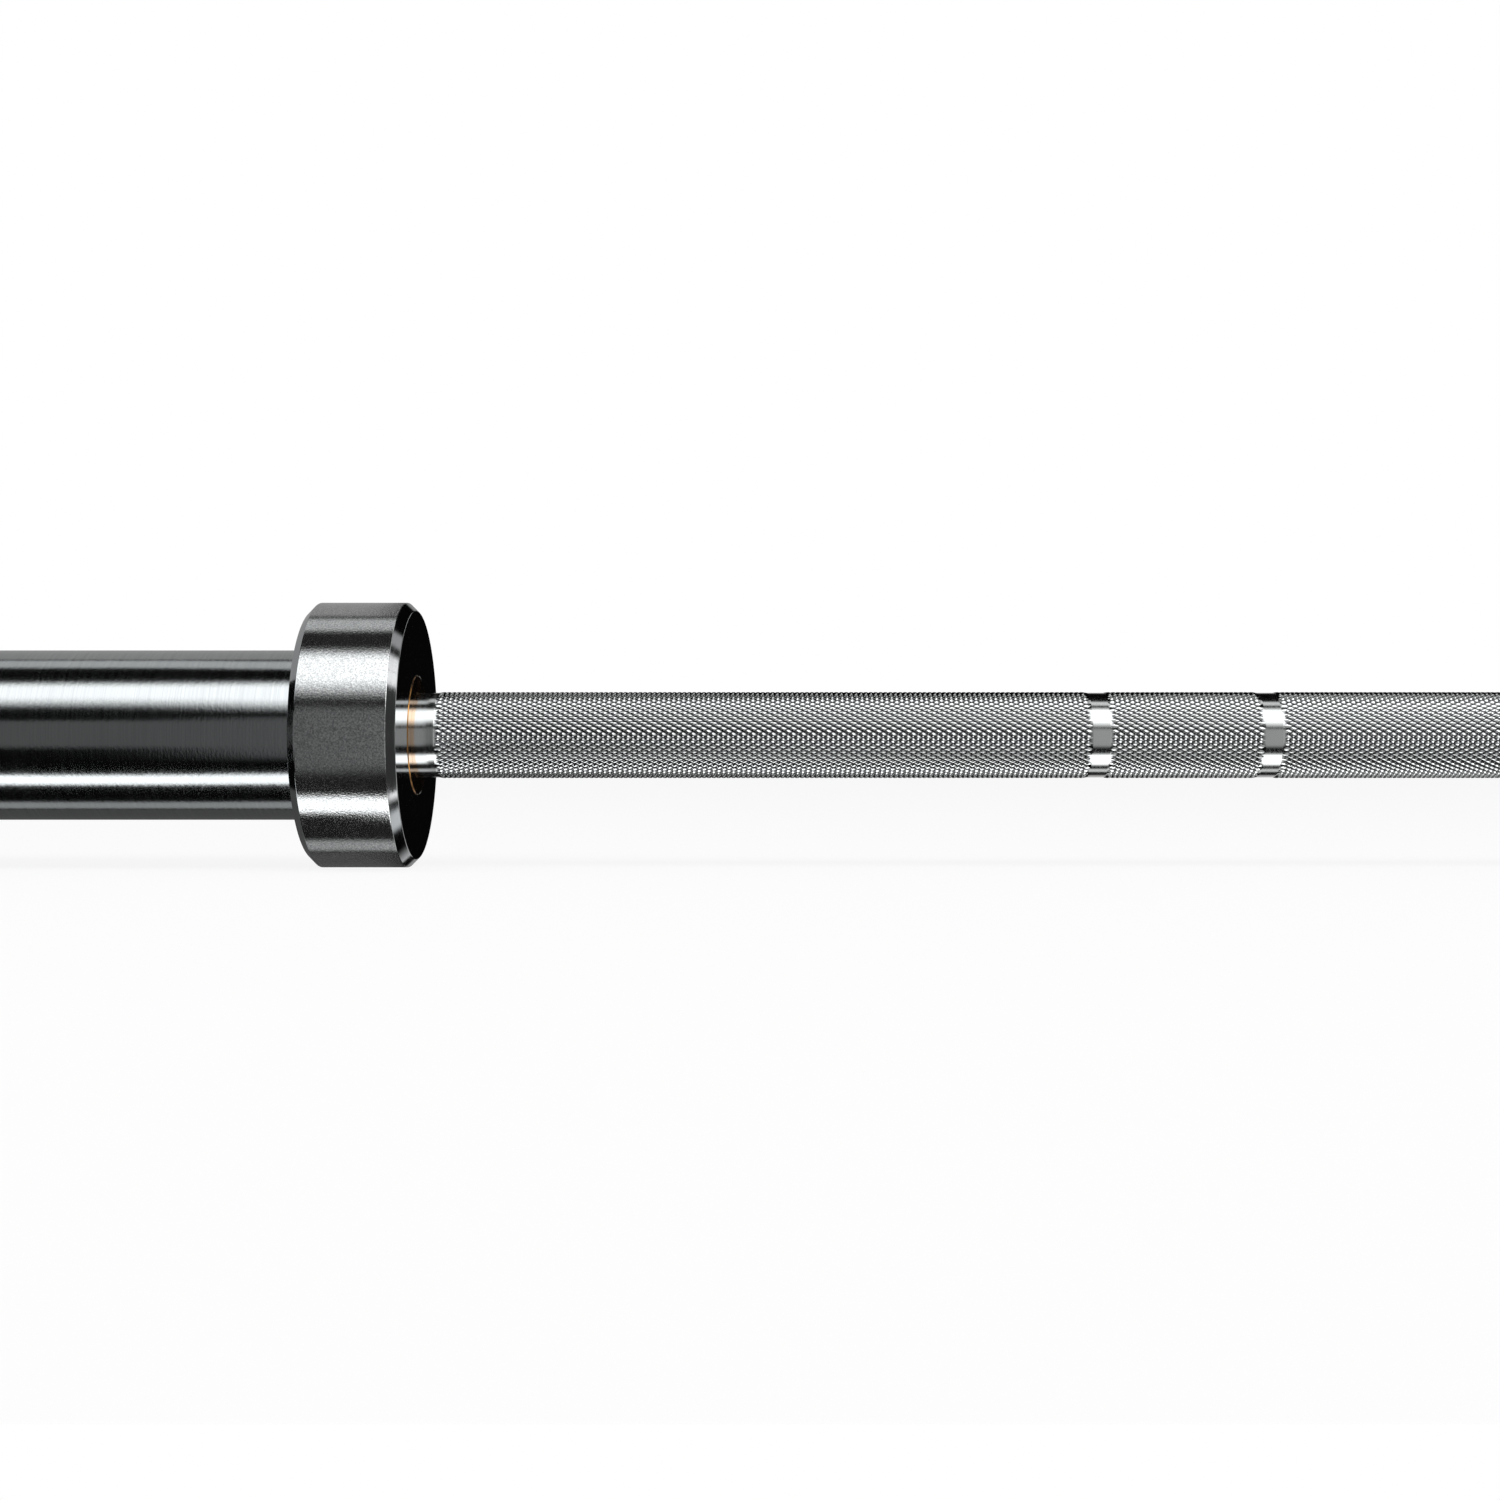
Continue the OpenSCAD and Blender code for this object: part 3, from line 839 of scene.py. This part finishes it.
def end_card(name, x, radius, strength):
    """A round card past one end of the bar, square to it, which the end caps mirror."""
    sides = 32
    mesh = bpy.data.meshes.new(name)
    rim = [(x, *around_the_bar(360 * k / sides, radius)) for k in range(sides)]
    mesh.from_pydata(rim, [], [tuple(range(sides))])
    mesh.materials.append(emission(name, strength=strength)[0])
    only_in_reflections(bpy.data.objects.new(name, mesh))


def floor():
    """A pale floor under the collars. The camera sees it nearly white, with the bar's shadow."""
    half, paper_grey, camera_white = 60.0, 0.9, 0.88
    mesh = bpy.data.meshes.new("floor")
    corners = [(-half, -half, 0), (half, -half, 0), (half, half, 0), (-half, half, 0)]
    mesh.from_pydata(corners, [], [(0, 1, 2, 3)])
    material = bpy.data.materials.new("floor_paper")
    material.use_nodes = True
    tree = material.node_tree
    tree.nodes.clear()
    paper = tree.nodes.new("ShaderNodeBsdfDiffuse")
    paper.inputs["Color"].default_value = (paper_grey, paper_grey, paper_grey, 1)
    white = tree.nodes.new("ShaderNodeEmission")
    rays = tree.nodes.new("ShaderNodeLightPath")
    share = tree.nodes.new("ShaderNodeMath")
    share.operation = "MULTIPLY"
    share.inputs[1].default_value = camera_white
    mix = tree.nodes.new("ShaderNodeMixShader")
    out = tree.nodes.new("ShaderNodeOutputMaterial")
    tree.links.new(rays.outputs["Is Camera Ray"], share.inputs[0])
    tree.links.new(share.outputs[0], mix.inputs[0])
    tree.links.new(paper.outputs[0], mix.inputs[1])
    tree.links.new(white.outputs[0], mix.inputs[2])
    tree.links.new(mix.outputs[0], out.inputs["Surface"])
    mesh.materials.append(material)
    obj = bpy.data.objects.new("floor", mesh)
    obj.location = (0, 0, -COLLAR_R)
    bpy.context.scene.collection.objects.link(obj)
    obj.visible_glossy = obj.visible_shadow = False


def world():
    """White for the camera, for metal and for glass; a soft grey fill for everything else."""
    fill = 0.45
    made = bpy.data.worlds.new("world")
    bpy.context.scene.world = made
    made.use_nodes = True
    tree = made.node_tree
    background = tree.nodes["Background"]
    background.inputs["Color"].default_value = (1, 1, 1, 1)
    rays = tree.nodes.new("ShaderNodeLightPath")
    seen = rays.outputs["Is Camera Ray"]
    for kind in ("Is Glossy Ray", "Is Transmission Ray"):
        either = tree.nodes.new("ShaderNodeMath")
        either.operation = "MAXIMUM"
        tree.links.new(seen, either.inputs[0])
        tree.links.new(rays.outputs[kind], either.inputs[1])
        seen = either.outputs[0]
    strength = tree.nodes.new("ShaderNodeMapRange")
    strength.inputs["To Min"].default_value = fill
    strength.inputs["To Max"].default_value = 1.0
    tree.links.new(seen, strength.inputs["Value"])
    tree.links.new(strength.outputs[0], background.inputs["Strength"])


def camera():
    """Square to the bar, a little below its axis, with the collar at the left of the frame."""
    x, distance, height = -556.8 * MM, 575.6 * MM, -4.4 * MM
    data = bpy.data.cameras.new("camera")
    data.sensor_width = 36
    data.lens = 46.75
    obj = bpy.data.objects.new("camera", data)
    obj.location = (x, -distance, height)
    obj.rotation_euler = (math.radians(90), 0, 0)
    bpy.context.scene.collection.objects.link(obj)
    bpy.context.scene.camera = obj


lamp("upper_lamp", 57, 0.5, 2.2)
lamp("lower_lamp", -65, 0.4, 1.6)
strip("upper_softbox", (33, 78), (27, 80), (26, 79), (14, 83), 1.4, (1.8, 2.3), (0.45, 0.3), 0.5)
strip("lower_softbox", (-73, -52), (-72, -50), (-79, -51), (-95, -48), 0.4, (2.1, 2.3), fade=0.4)
strip("upper_back_strip", (98, 123), (95, 121), (97, 118), (84, 104), 1.0, (0.6, 0.9))
strip("lower_back_strip", (-120, -99), (-120, -98), (-120, -101), (-122, -102), 1.0, (0.4, 0.8))
# A little nearer than the softboxes, which it overlaps
strip("front_card", (-21, 21), (-38, 27), (-30, 24), (-38, 20), 1.4, (0.115, 0.42), (0.2, 0.12), 0.5, 0.98)
# Cards towards one end only, which the chamfers and the knurl's slanted sides mirror
even_card("back_left_card", (-2.6, -0.815), (120, 182), 0.35, soft=(0.06, 0.06), fade=0.04)
even_card("lower_back_left_card", (-2.6, -0.815), (-178, -118), 0.09, soft=(0.06, 0.06), fade=0.04)
even_card("upper_right_card", (0.4, 2.0), (80, 110), 1.4, fade=0.3)
even_card("upper_far_card", (0.05, 0.55), (111, 131), 0.45, fade=0.1)
even_card("lower_right_card", (0.8, 1.7), (-104, -90), 1.5, fade=0.3)
# Cards behind the bar, which the views from behind and from the ends mirror. They leave out the
# part that the collar's inner face mirrors in the photograph, where it is black.
even_card("back_card", (-3, -0.48), (150, 210), 0.3, fade=0.1, distance=1.5)
even_card("back_right_card", (-0.32, 3), (150, 225), 0.55, fade=0.1, distance=1.5)
even_card("upper_rear_softbox", (0.95, 3), (118, 148), 1.4, fade=0.3)
even_card("lower_rear_softbox", (0.95, 3), (-148, -118), 1.1, fade=0.3)
end_card("left_end_card", -3.9, 0.6, 0.6)
end_card("right_end_card", 3.9, 0.6, 0.6)
flags()
floor()
world()
camera()
bpy.context.scene.view_settings.view_transform = "Standard"
